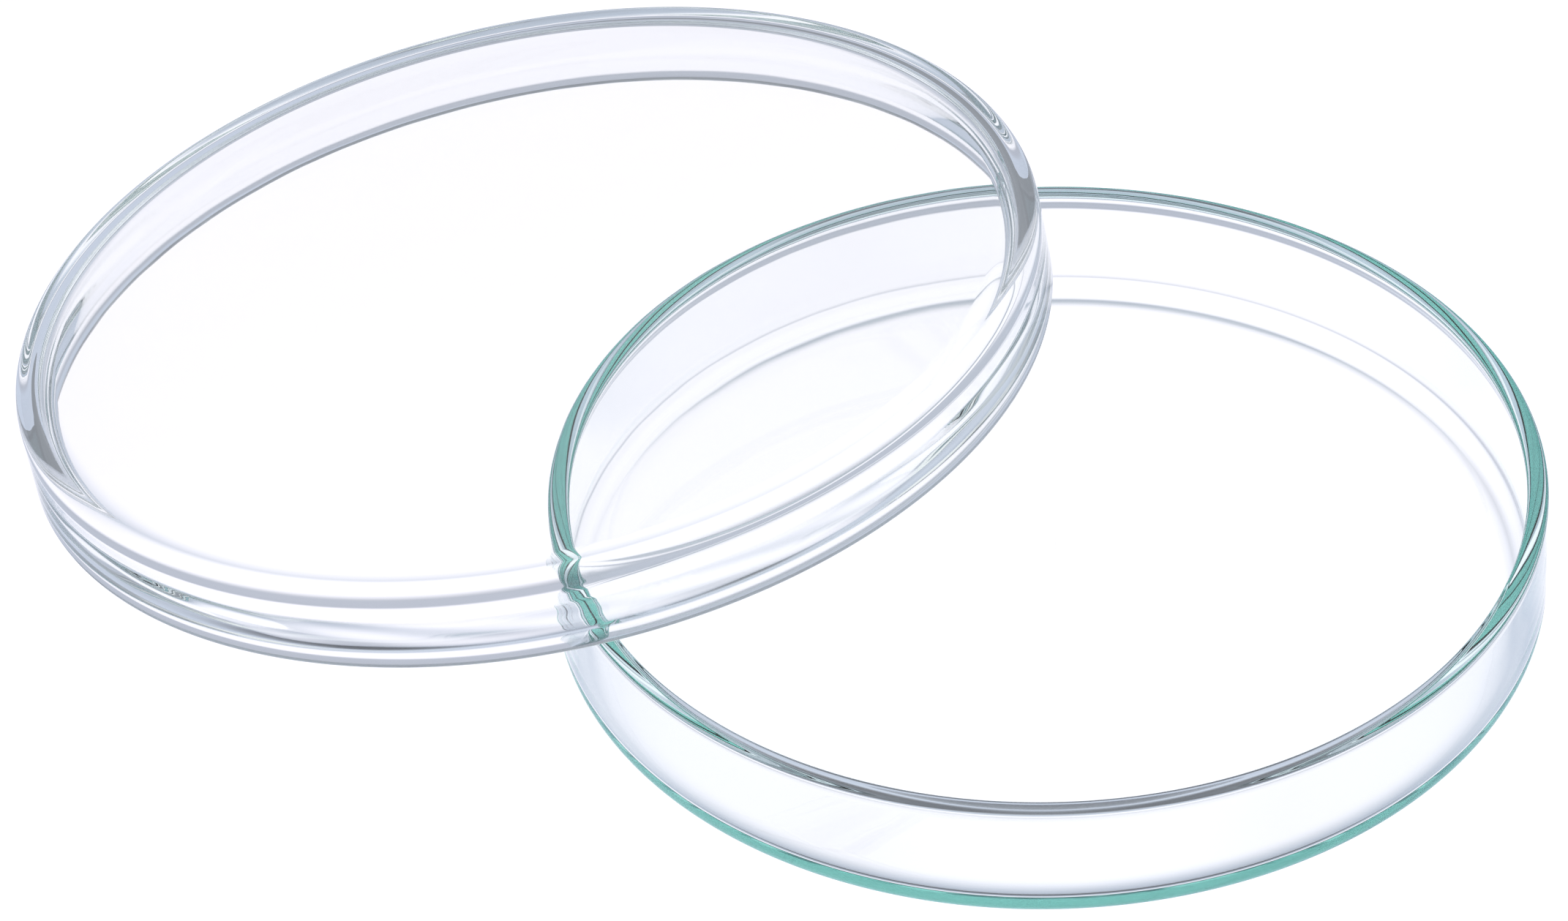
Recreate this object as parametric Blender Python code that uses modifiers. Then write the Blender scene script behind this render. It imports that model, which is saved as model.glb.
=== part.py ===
"""A glass petri dish: a flat-floored base and a wider, shallower lid that lies open side down, half off the base.

Units are metres, +Z is up. The origin is the centre of the base's underside. The lid lies towards -X: its rim
touches the table at its far side and rests across the base's rim, so that it leans. It lifts straight up along +Z.
"""

import math

import bpy

MM = 0.001

GAP = 0.35 * MM             # height of the lid's rim above the base's, where they cross

# Inner corners are (width, height). The fire-polished rims are thicker than the walls and swell inwards.
BASE_DIAMETER = 93.2 * MM
BASE_HEIGHT = 12.8 * MM
BASE_FLOOR = 1.1 * MM
BASE_WALL = 1.6 * MM
BASE_CORNER = 2.6 * MM      # outside radius where the wall turns into the floor
BASE_INNER_CORNER = (3.6 * MM, 1.5 * MM)
BASE_RIM_WIDTH = 2.0 * MM
BASE_SWELL_HEIGHT = 1.6 * MM
BASE_RIM_CROWN = 0.4 * MM   # how far the middle of the base's rim stands above its edges

LID_DIAMETER = 100.0 * MM
LID_HEIGHT = 9.2 * MM
LID_PLATE = 1.0 * MM
LID_WALL = 1.1 * MM
LID_CORNER = 1.6 * MM       # outside radius where the wall turns into the plate
LID_INNER_CORNER = (3.0 * MM, 1.8 * MM)
LID_RIM_WIDTH = 2.1 * MM
LID_SWELL_HEIGHT = 4.4 * MM # the lid's wall thickens over nearly its whole height
LID_RIM_CROWN = LID_RIM_WIDTH / 2   # the lid's rim is fully round
LID_OFFSET = 55.35 * MM     # from the base's axis to the middle of the lid's rim

TURN_STEPS = 96             # facets round a full turn
RIM_STEPS = 8               # facets over a rim
SWELL_STEPS = 5             # facets down the swelling below a rim
CORNER_STEPS = 5            # facets round a quarter-turn corner
MERGE_DISTANCE = 0.00001
BISECTIONS = 60             # halvings of an interval, past a float's precision

BASE_TINT = (0.90, 0.96, 0.94, 1.0)
LID_TINT = (0.93, 0.96, 0.97, 1.0)
GLASS_ROUGHNESS = 0.02
GLASS_IOR = 1.52


def clear_scene():
    for old in list(bpy.data.objects):
        bpy.data.objects.remove(old, do_unlink=True)


def arc(centre, half_width, half_height, start, end, steps):
    """Points of an ellipse in the XZ plane, from one angle to another, both ends included."""
    points = []
    for step in range(steps + 1):
        angle = start + (end - start) * step / steps
        points.append((centre[0] + half_width * math.cos(angle), centre[1] + half_height * math.sin(angle)))
    return points


def rim_swelling(wall_radius, rim_radius, foot, top):
    """Points up the inside, where the wall eases inwards to the rim. The rim's own first point is left out."""
    points = []
    for step in range(SWELL_STEPS):
        share = step / SWELL_STEPS
        ease = (1 - math.cos(math.pi * share)) / 2
        points.append((wall_radius + (rim_radius - wall_radius) * ease, foot + (top - foot) * share))
    return points


def dish_profile(radius, height, floor, wall, corner, inner_corner, rim_width, swell_height, crown):
    """Half section of an open dish that stands on z = 0, from the middle of its floor, over the rim, to its underside."""
    quarter = math.pi / 2
    wall_radius = radius - wall
    crown_foot = height - crown
    fillet_centre = (wall_radius - inner_corner[0], floor + inner_corner[1])
    fillet = arc(fillet_centre, *inner_corner, -quarter, 0, CORNER_STEPS)
    swelling = rim_swelling(wall_radius, radius - rim_width, crown_foot - swell_height, crown_foot)
    rim = arc((radius - rim_width / 2, crown_foot), rim_width / 2, crown, math.pi, 0, RIM_STEPS)
    foot = arc((radius - corner, corner), corner, corner, 0, -quarter, CORNER_STEPS)
    return [(0, floor)] + fillet + swelling + rim + foot + [(0, 0)]


def upside_down(profile, height):
    """The same half section turned over, in the order that keeps its outer side running from top to bottom."""
    return [(x, height - z) for x, z in reversed(profile)]


def turned_solid(name, profile, material, collection):
    """A half section in the XZ plane, turned about Z."""
    mesh = bpy.data.meshes.new(name)
    points = [(x, 0, z) for x, z in profile]
    edges = [(i, i + 1) for i in range(len(points) - 1)]
    mesh.from_pydata(points, edges, [])
    mesh.materials.append(material)
    solid = bpy.data.objects.new(name, mesh)
    collection.objects.link(solid)
    screw = solid.modifiers.new("turn", "SCREW")
    screw.axis = "Z"
    screw.steps = TURN_STEPS
    screw.render_steps = TURN_STEPS
    screw.use_merge_vertices = True
    screw.merge_threshold = MERGE_DISTANCE
    screw.use_smooth_shade = True
    return solid


def glass(name, tint):
    material = bpy.data.materials.new(name)
    material.use_nodes = True
    shader = material.node_tree.nodes["Principled BSDF"]
    shader.inputs["Base Color"].default_value = tint
    shader.inputs["Roughness"].default_value = GLASS_ROUGHNESS
    shader.inputs["Metallic"].default_value = 0.0
    shader.inputs["IOR"].default_value = GLASS_IOR
    shader.inputs["Transmission Weight"].default_value = 1.0
    return material


def lid_ring(lean):
    """Radius of the circle along the middle of the lid's round rim, and the height of its centre at that lean.

    The rim's far side is on the table, so the centre's height follows from the lean.
    """
    radius = (LID_DIAMETER - LID_RIM_WIDTH) / 2
    return radius, radius * math.sin(lean) + LID_RIM_CROWN


def rim_clearance(lean):
    """Height of the lid's rim above the base's rim, where the two cross."""
    ring_radius, ring_level = lid_ring(lean)
    crest_radius = (BASE_DIAMETER - BASE_RIM_WIDTH) / 2
    # Seen from above, go round half the lid's ring, from over the base to past its rim, and find the crossing.
    inside, outside = 0.0, math.pi
    for _ in range(BISECTIONS):
        turn = (inside + outside) / 2
        along = ring_radius * math.cos(turn)
        x = along * math.cos(lean) - LID_OFFSET
        y = ring_radius * math.sin(turn)
        if math.hypot(x, y) < crest_radius:
            inside = turn
        else:
            outside = turn
    return ring_level + along * math.sin(lean) - LID_RIM_CROWN - BASE_HEIGHT


def lid_lean():
    """The lean at which the lid's rim clears the base's rim by GAP."""
    low, high = math.radians(5), math.radians(20)
    for _ in range(BISECTIONS):
        lean = (low + high) / 2
        if rim_clearance(lean) < GAP:
            low = lean
        else:
            high = lean
    return high


def main():
    clear_scene()
    parts = bpy.data.collections.new("petri_dish")
    bpy.context.scene.collection.children.link(parts)

    base_section = dish_profile(BASE_DIAMETER / 2, BASE_HEIGHT, BASE_FLOOR, BASE_WALL, BASE_CORNER,
                                BASE_INNER_CORNER, BASE_RIM_WIDTH, BASE_SWELL_HEIGHT, BASE_RIM_CROWN)
    turned_solid("dish_base", base_section, glass("base_glass", BASE_TINT), parts)

    upright = dish_profile(LID_DIAMETER / 2, LID_HEIGHT, LID_PLATE, LID_WALL, LID_CORNER,
                           LID_INNER_CORNER, LID_RIM_WIDTH, LID_SWELL_HEIGHT, LID_RIM_CROWN)
    lid_section = [(x, z - LID_RIM_CROWN) for x, z in upside_down(upright, LID_HEIGHT)]
    lid = turned_solid("dish_lid", lid_section, glass("lid_glass", LID_TINT), parts)
    lean = lid_lean()
    lid.location = (-LID_OFFSET, 0, lid_ring(lean)[1])
    lid.rotation_euler = (0, -lean, 0)


main()
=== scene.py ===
"""A clear glass petri dish: the open base, and the lid leaning on its rim with the open side down.

Each piece is one turned glass wall with a rounded foot and a swollen rim. It stands in for its CAD piece, and
takes its place, outer radius and height from it. Clear glass shows only what is round it, so the studio is
part of the look: the floor shines evenly in the camera's view and is dimmer beyond it, and the sky is dim
low down and bright overhead. That leaves the flat glass white and draws the edges in grey, blue and green.
"""

import math

import bmesh
import bpy
import numpy as np
from mathutils import Matrix, Vector


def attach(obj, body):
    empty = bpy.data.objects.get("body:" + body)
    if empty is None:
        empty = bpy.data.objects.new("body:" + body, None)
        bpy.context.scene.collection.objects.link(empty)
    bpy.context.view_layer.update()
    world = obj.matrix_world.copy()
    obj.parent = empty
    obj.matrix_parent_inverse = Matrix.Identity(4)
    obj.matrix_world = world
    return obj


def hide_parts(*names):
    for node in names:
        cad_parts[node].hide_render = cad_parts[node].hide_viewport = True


MM = 0.001

# Section of each piece, as if it stood with its open end up. An inner corner is (width, height). A swelling
# is the inner wall's (depth below the rim's crown, slope inwards), from its foot upwards.
BASE = {
    "floor": 1.1 * MM,
    "wall": 1.6 * MM,
    "corner": 2.6 * MM,
    "inner_corner": (3.6 * MM, 1.5 * MM),
    "swelling": ((1.6 * MM, 0), (0.8 * MM, 0.5), (0, 0)),
    "rim_crown": 0.4 * MM,
}
LID = {
    "floor": 1.0 * MM,
    "wall": 1.1 * MM,
    "corner": 1.6 * MM,
    "inner_corner": (3.0 * MM, 1.8 * MM),
    "swelling": ((4.4 * MM, 0), (4.1 * MM, 0.22), (1.2 * MM, 0.24), (0.6 * MM, 0.45), (0, 0)),
    "rim_crown": 1.05 * MM,
}

# Mesh. An edge strip is a narrow band of faces where a straight part of the section meets a curve.
TURN_STEPS = 600
CORNER_STEPS = 18
SWELLING_STEPS = 28
CROWN_STEPS = 24
WALL_STEPS = 6
EDGE_STRIP = 0.05 * MM

# Unevenness of the inner walls: each ripple is (waves round the dish, waves up the wall)
RIPPLES = ((7, 1.3), (11, -0.8), (18, 2.1))
BASE_RIPPLE = 0.004 * MM
LID_RIPPLE = 0.016 * MM

# Glass. A tint is what is left of white light after thick glass, and its density says how soon.
GLASS_IOR = 1.52
BASE_TINT = (0.20, 0.76, 0.70)
BASE_TINT_DENSITY = 16
LID_TINT = (0.45, 0.78, 0.74)
LID_TINT_DENSITY = 10
SURFACE_WAVE_SCALE = 110
SURFACE_WAVE_DETAIL = 1
SURFACE_WAVE_HEIGHT = 0.025 * MM
HAZE_SCALE = 600
HAZE_DETAIL = 4
HAZE_RANGE = (0.45, 0.8)
HAZE_ROUGHNESS = 0.02

# Floor, FLOOR_DROP under the glass: an evenly bright square in the camera's view, fading to greys beyond it.
# A grey is (distance beyond the square's middle as the camera sees it, colour), from the camera's side to the
# far side. The dark one is what the front rims show. To either side the greys turn pale between the two
# distances of GREYS_SIDE.
FLOOR_SIZE = 12.0
FLOOR_DROP = 0.30
FLOOR_SHIFT = 0.015
FLOOR_BRIGHT = (1.13, 1.115, 1.20)
FLOOR_PALE = (0.60, 0.66, 0.79)
FLOOR_DARK = (0.12, 0.125, 0.145)
FLOOR_GREYS = ((-0.80, FLOOR_PALE), (-0.62, FLOOR_DARK), (-0.50, FLOOR_DARK), (-0.30, (0.52, 0.57, 0.68)),
               (-0.10, FLOOR_PALE), (0.10, (0.50, 0.53, 0.62)))
GREYS_HALF = 1.0
GREYS_SIDE = (0.25, 0.45)
BRIGHT_HALF = 0.086
BRIGHT_FADE = 0.22

# Sky: dim up to one height above the horizon, bright from another, and smooth between them
SKY_LOW = (0.28, 0.30, 0.335)
SKY_LOW_TOP = math.radians(20)
SKY_HIGH = (0.95, 0.98, 1.0)
SKY_HIGH_FOOT = math.radians(45)

# Camera. Its azimuth is from the front, -Y, towards +X.
CAMERA_TARGET = Vector((-32.01, 5.77, 0.0)) * MM
CAMERA_DISTANCE = 815.84 * MM
CAMERA_AZIMUTH = math.radians(31.0)
CAMERA_ELEVATION = math.radians(38.787)
CAMERA_ROLL = math.radians(-2.751)
LENS = 194.65

# Enough for light that is caught in the rims and walls of both pieces
LIGHT_BOUNCES = 48

# How closely a flat face's normal agrees with its piece's axis, first roughly and then exactly
AXIS_AGREEMENTS = (0.95, 0.9999)

# The lid leans about this direction, so it is square to both axes
SIDE = (0.0, 1.0, 0.0)


def arc(centre, half_width, half_height, start, end, steps):
    """Points round an ellipse in the XZ plane, both ends included."""
    points = []
    for step in range(steps + 1):
        angle = start + (end - start) * step / steps
        points.append((centre[0] + half_width * math.cos(angle), centre[1] + half_height * math.sin(angle)))
    return points


def straight(start, end, steps=1):
    """Points between two curves. The first and last are close to the curves, so their shading stays there."""
    start, end = Vector(start), Vector(end)
    strip = (end - start).normalized() * EDGE_STRIP
    return [tuple((start + strip).lerp(end - strip, step / steps)) for step in range(steps + 1)]


def swollen_wall(wall_radius, top, slopes):
    """The inner wall from the foot of its swelling to the rim, both ends included."""
    depths, leans = np.array(slopes).T
    heights = np.linspace(top - depths[0], top, SWELLING_STEPS + 1)
    slope = np.interp(heights, top - depths, leans)
    inward = np.concatenate(([0], np.cumsum((slope[1:] + slope[:-1]) / 2 * np.diff(heights))))
    return [(wall_radius - lean, height) for lean, height in zip(inward, heights)]


def dish_profile(radius, height, floor, wall, corner, inner_corner, swelling, rim_crown):
    """The glass section in (radius, height), from the middle of the floor over the rim and back under it."""
    quarter = math.pi / 2
    wall_radius = radius - wall
    crown_foot = height - rim_crown
    fillet_centre = (wall_radius - inner_corner[0], floor + inner_corner[1])
    fillet = arc(fillet_centre, *inner_corner, -quarter, 0, CORNER_STEPS)
    swell = swollen_wall(wall_radius, crown_foot, swelling)
    rim_half = (radius - swell[-1][0]) / 2
    crown = arc((radius - rim_half, crown_foot), rim_half, rim_crown, math.pi, 0, CROWN_STEPS)
    foot = arc((radius - corner, corner), corner, corner, 0, -quarter, CORNER_STEPS)
    flat = straight((0, floor), fillet[0])
    inner_wall = straight(fillet[-1], swell[0], WALL_STEPS)
    outer_wall = straight(crown[-1], foot[0])
    underside = straight(foot[-1], (0, 0))
    return flat + fillet + inner_wall + swell[:-1] + crown + outer_wall + foot + underside


def ripple(angle, rise):
    """How far the inner wall is out of true, for rise from 0 at its foot to 1 at its rim."""
    waves = sum(math.sin(around * angle + up * math.tau * rise) for around, up in RIPPLES)
    return waves * math.sin(math.pi * rise) ** 2


def turned_glass(name, centre, opening, radius, height, section, ripple_height, material):
    """A closed turned piece with its middle at centre and its open end facing along opening."""
    wall_foot = section["floor"] + section["inner_corner"][1]
    wall_top = height - section["rim_crown"]
    bm = bmesh.new()
    rings = []
    for x, z in dish_profile(radius, height, **section):
        rise = (z - wall_foot) / (wall_top - wall_foot)
        inner = x < radius - section["wall"] / 2 and 0 < rise < 1
        ring = []
        for step in range(TURN_STEPS):
            angle = math.tau * step / TURN_STEPS
            reach = x + ripple_height * ripple(angle, rise) if inner else x
            ring.append(bm.verts.new((reach * math.cos(angle), reach * math.sin(angle), z)))
        rings.append(ring)
    for ring, outer in zip(rings, rings[1:]):
        for step in range(TURN_STEPS):
            follow = (step + 1) % TURN_STEPS
            bm.faces.new((ring[step], outer[step], outer[follow], ring[follow]))
    floor_middle, underside_middle = bm.verts.new((0, 0, section["floor"])), bm.verts.new((0, 0, 0))
    for step in range(TURN_STEPS):
        follow = (step + 1) % TURN_STEPS
        bm.faces.new((floor_middle, rings[0][step], rings[0][follow]))
        bm.faces.new((underside_middle, rings[-1][follow], rings[-1][step]))
    for face in bm.faces:
        face.smooth = True
    mesh = bpy.data.meshes.new(name)
    bm.to_mesh(mesh)
    bm.free()
    piece = bpy.data.objects.new(name, mesh)
    bpy.context.scene.collection.objects.link(piece)
    side = Vector(SIDE)
    turn = Matrix((side.cross(opening), side, opening)).transposed().to_4x4()
    piece.matrix_world = Matrix.Translation(centre - opening * height / 2) @ turn
    mesh.materials.append(material)
    return piece


def turned_axis(mesh):
    """Middle, axis, radius and height of a turned CAD mesh. The axis comes from its large flat faces."""
    points = np.array([vertex.co for vertex in mesh.vertices])
    normals = np.array([face.normal for face in mesh.polygons])
    areas = np.array([face.area for face in mesh.polygons])
    axis = np.array((0.0, 0.0, 1.0))
    for agreement in AXIS_AGREEMENTS:
        facing = normals @ axis > agreement
        axis = areas[facing] @ normals[facing]
        axis /= np.linalg.norm(axis)
    side = np.array(SIDE)
    directions = (np.cross(side, axis), side, axis)
    middle = np.zeros(3)
    for direction in directions:
        span = points @ direction
        middle += direction * (span.max() + span.min()) / 2
    along = (points - middle) @ axis
    across = np.linalg.norm(points - middle - np.outer(along, axis), axis=1)
    return Vector(middle), Vector(axis), across.max(), along.max() - along.min()


def add_node(tree, kind, inputs, **settings):
    """A new node. Each of inputs is a value, or the output socket that feeds it."""
    node = tree.nodes.new(kind)
    for setting, value in settings.items():
        setattr(node, setting, value)
    for socket, value in inputs.items():
        if isinstance(value, bpy.types.NodeSocket):
            tree.links.new(value, node.inputs[socket])
        else:
            node.inputs[socket].default_value = value
    return node


def fill_ramp(ramp, stops):
    """Give a new colour ramp smooth steps through stops, which are (position, colour)."""
    ramp.interpolation = "EASE"
    ramp.elements.remove(ramp.elements[0])
    last = ramp.elements[0]
    last.position = stops[-1][0]
    last.color = (*stops[-1][1], 1)
    for position, colour in stops[:-1]:
        ramp.elements.new(position).color = (*colour, 1)


def glass(name, tint, density):
    """Clear glass, tinted where it is thick, with a faintly wavy surface and a trace of haze."""
    material = bpy.data.materials.new(name)
    material.use_nodes = True
    tree = material.node_tree
    place = add_node(tree, "ShaderNodeTexCoord", {}).outputs["Object"]
    waves = add_node(tree, "ShaderNodeTexNoise", {"Vector": place, "Scale": SURFACE_WAVE_SCALE,
                                                  "Detail": SURFACE_WAVE_DETAIL})
    bump = add_node(tree, "ShaderNodeBump", {"Height": waves.outputs["Fac"], "Distance": SURFACE_WAVE_HEIGHT})
    haze = add_node(tree, "ShaderNodeTexNoise", {"Vector": place, "Scale": HAZE_SCALE, "Detail": HAZE_DETAIL})
    rough = add_node(tree, "ShaderNodeMapRange", {"Value": haze.outputs["Fac"], "From Min": HAZE_RANGE[0],
                                                  "From Max": HAZE_RANGE[1], "To Max": HAZE_ROUGHNESS})
    shader = tree.nodes["Principled BSDF"]
    shader.inputs["Base Color"].default_value = (1, 1, 1, 1)
    shader.inputs["IOR"].default_value = GLASS_IOR
    shader.inputs["Transmission Weight"].default_value = 1
    tree.links.new(rough.outputs["Result"], shader.inputs["Roughness"])
    tree.links.new(bump.outputs["Normal"], shader.inputs["Normal"])
    volume = add_node(tree, "ShaderNodeVolumeAbsorption", {"Color": (*tint, 1), "Density": density})
    tree.links.new(volume.outputs["Volume"], tree.nodes["Material Output"].inputs["Volume"])
    return material


def lit_floor():
    """A shining floor: a bright square round its middle, fading into greys along its Y and pale aside."""
    material = bpy.data.materials.new("floor_light")
    material.use_nodes = True
    tree = material.node_tree
    place = add_node(tree, "ShaderNodeTexCoord", {}).outputs["Object"]
    away = add_node(tree, "ShaderNodeVectorMath", {0: place}, operation="ABSOLUTE")
    beyond = add_node(tree, "ShaderNodeVectorMath", {0: away.outputs[0], 1: (BRIGHT_HALF, BRIGHT_HALF, 0)},
                      operation="SUBTRACT")
    outside = add_node(tree, "ShaderNodeVectorMath", {0: beyond.outputs[0]}, operation="MAXIMUM")
    distance = add_node(tree, "ShaderNodeVectorMath", {0: outside.outputs[0]}, operation="LENGTH")
    dimness = add_node(tree, "ShaderNodeMapRange",
                       {"Value": distance.outputs["Value"], "From Max": BRIGHT_FADE},
                       interpolation_type="SMOOTHERSTEP")
    depth = add_node(tree, "ShaderNodeSeparateXYZ", {0: place})
    across = add_node(tree, "ShaderNodeMapRange", {"Value": depth.outputs["Y"], "From Min": -GREYS_HALF,
                                                   "From Max": GREYS_HALF})
    greys = add_node(tree, "ShaderNodeValToRGB", {"Fac": across.outputs["Result"]})
    fill_ramp(greys.color_ramp, [((y + GREYS_HALF) / (2 * GREYS_HALF), colour) for y, colour in FLOOR_GREYS])
    bright = add_node(tree, "ShaderNodeEmission", {"Color": (*FLOOR_BRIGHT, 1)})
    grey = add_node(tree, "ShaderNodeEmission", {"Color": greys.outputs["Color"]})
    pale = add_node(tree, "ShaderNodeEmission", {"Color": (*FLOOR_PALE, 1)})
    breadth = add_node(tree, "ShaderNodeSeparateXYZ", {0: away.outputs[0]})
    aside = add_node(tree, "ShaderNodeMapRange",
                     {"Value": breadth.outputs["X"], "From Min": GREYS_SIDE[0], "From Max": GREYS_SIDE[1]},
                     interpolation_type="SMOOTHSTEP")
    dim = add_node(tree, "ShaderNodeMixShader", {0: aside.outputs["Result"], 1: grey.outputs["Emission"],
                                                 2: pale.outputs["Emission"]})
    whole = add_node(tree, "ShaderNodeMixShader", {0: dimness.outputs["Result"],
                                                   1: bright.outputs["Emission"],
                                                   2: dim.outputs["Shader"]})
    tree.links.new(whole.outputs["Shader"], tree.nodes["Material Output"].inputs["Surface"])
    return material


def studio_sky():
    """A world that brightens smoothly from the horizon to overhead."""
    world = bpy.data.worlds.new("studio")
    world.use_nodes = True
    tree = world.node_tree
    place = add_node(tree, "ShaderNodeTexCoord", {})
    direction = add_node(tree, "ShaderNodeSeparateXYZ", {0: place.outputs["Generated"]})
    shades = add_node(tree, "ShaderNodeValToRGB", {"Fac": direction.outputs["Z"]})
    fill_ramp(shades.color_ramp, [(math.sin(SKY_LOW_TOP), SKY_LOW), (math.sin(SKY_HIGH_FOOT), SKY_HIGH)])
    tree.links.new(shades.outputs["Color"], tree.nodes["Background"].inputs["Color"])
    return world


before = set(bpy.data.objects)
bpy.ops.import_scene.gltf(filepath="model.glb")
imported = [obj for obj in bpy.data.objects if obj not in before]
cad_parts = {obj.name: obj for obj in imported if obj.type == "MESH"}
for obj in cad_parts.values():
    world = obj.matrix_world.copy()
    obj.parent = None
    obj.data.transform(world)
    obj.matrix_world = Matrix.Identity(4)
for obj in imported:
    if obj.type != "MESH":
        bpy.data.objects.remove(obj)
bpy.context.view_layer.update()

base_centre, base_axis, base_radius, base_height = turned_axis(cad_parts["dish_base"].data)
base = turned_glass("base_glass_body", base_centre, base_axis, base_radius, base_height, BASE, BASE_RIPPLE,
                    glass("base_glass", BASE_TINT, BASE_TINT_DENSITY))
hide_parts("dish_base")
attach(base, "base")

lid_centre, lid_axis, lid_radius, lid_height = turned_axis(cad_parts["dish_lid"].data)
lid = turned_glass("lid_glass_body", lid_centre, -lid_axis, lid_radius, lid_height, LID, LID_RIPPLE,
                   glass("lid_glass", LID_TINT, LID_TINT_DENSITY))
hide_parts("dish_lid")
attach(lid, "lid")

look = Vector((-math.sin(CAMERA_AZIMUTH) * math.cos(CAMERA_ELEVATION),
               math.cos(CAMERA_AZIMUTH) * math.cos(CAMERA_ELEVATION),
               -math.sin(CAMERA_ELEVATION)))
right = look.cross(Vector((0, 0, 1))).normalized()
up = right.cross(look)

bpy.ops.mesh.primitive_plane_add(size=FLOOR_SIZE)
floor = bpy.context.object
floor.name = "floor"
floor.location = CAMERA_TARGET + look * (FLOOR_DROP / math.sin(CAMERA_ELEVATION)) + right * FLOOR_SHIFT
floor.rotation_euler.z = CAMERA_AZIMUTH
floor.data.materials.append(lit_floor())
bpy.context.scene.world = studio_sky()

camera = bpy.data.objects.new("camera", bpy.data.cameras.new("camera"))
bpy.context.scene.collection.objects.link(camera)
rolled_right = right * math.cos(CAMERA_ROLL) + up * math.sin(CAMERA_ROLL)
rolled_up = up * math.cos(CAMERA_ROLL) - right * math.sin(CAMERA_ROLL)
camera.matrix_world = (Matrix.Translation(CAMERA_TARGET - look * CAMERA_DISTANCE)
                       @ Matrix((rolled_right, rolled_up, -look)).transposed().to_4x4())
camera.data.lens = LENS
bpy.context.scene.camera = camera
bpy.context.scene.view_settings.view_transform = "Standard"
for limit in ("max_bounces", "transmission_bounces", "glossy_bounces"):
    setattr(bpy.context.scene.cycles, limit, LIGHT_BOUNCES)
